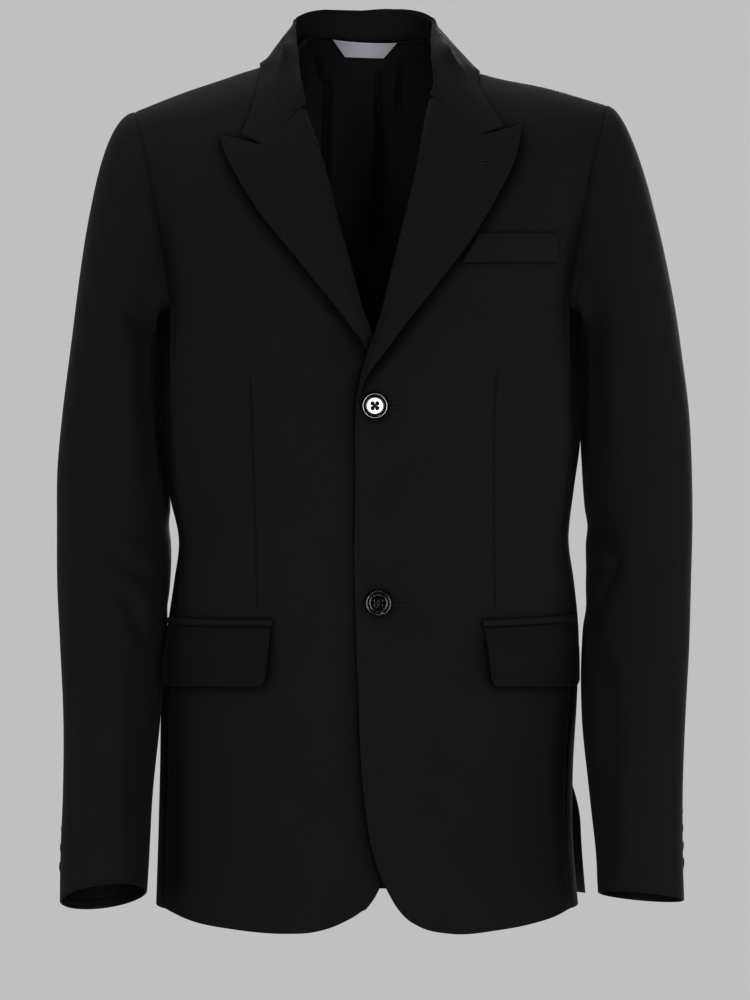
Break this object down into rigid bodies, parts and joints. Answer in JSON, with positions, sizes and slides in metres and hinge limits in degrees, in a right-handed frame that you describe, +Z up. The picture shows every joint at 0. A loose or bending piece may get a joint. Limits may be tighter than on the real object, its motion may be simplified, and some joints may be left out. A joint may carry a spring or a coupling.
{
  "type": "single breasted blazer",
  "caption": "Single-breasted blazer with peak lapels, flap pockets, a chest welt and side vents, hollow as worn and open at neck, hem and cuffs.",
  "frame": {"origin": "where the wearer's shoulders hold the jacket: on the centre line, at the height of the right neck point of the shoulder seam", "axes": "+X to the wearer's left, +Y to the back, +Z up"},
  "size_m": [0.5422, 0.2475, 0.7816],
  "materials": {
    "wool_twill": "matt black wool twill",
    "lining_satin": "black satin",
    "label_satin": "pale grey woven satin",
    "button_polyester": "polished black polyester"
  },
  "bodies": {
    "root": {"back_left": "wool_twill", "back_right": "wool_twill", "chest_welt": "wool_twill", "collar": "wool_twill", "flap_left": "wool_twill", "flap_right": "wool_twill", "front_left": "wool_twill", "front_right": "wool_twill", "lapel_left": "wool_twill", "lapel_right": "wool_twill", "pocket_jet_left": "wool_twill", "pocket_jet_right": "wool_twill", "side_left": "wool_twill", "side_right": "wool_twill", "top_sleeve_left": "wool_twill", "top_sleeve_right": "wool_twill", "under_sleeve_left": "wool_twill", "under_sleeve_right": "wool_twill", "back_lining": "lining_satin", "sleeve_lining_left": "lining_satin", "sleeve_lining_right": "lining_satin", "neck_label": "label_satin", "button_bottom": "button_polyester", "button_top": "button_polyester", "cuff_button_left_1": "button_polyester", "cuff_button_left_2": "button_polyester", "cuff_button_left_3": "button_polyester", "cuff_button_left_4": "button_polyester", "cuff_button_right_1": "button_polyester", "cuff_button_right_2": "button_polyester", "cuff_button_right_3": "button_polyester", "cuff_button_right_4": "button_polyester"}
  },
  "joints": []
}
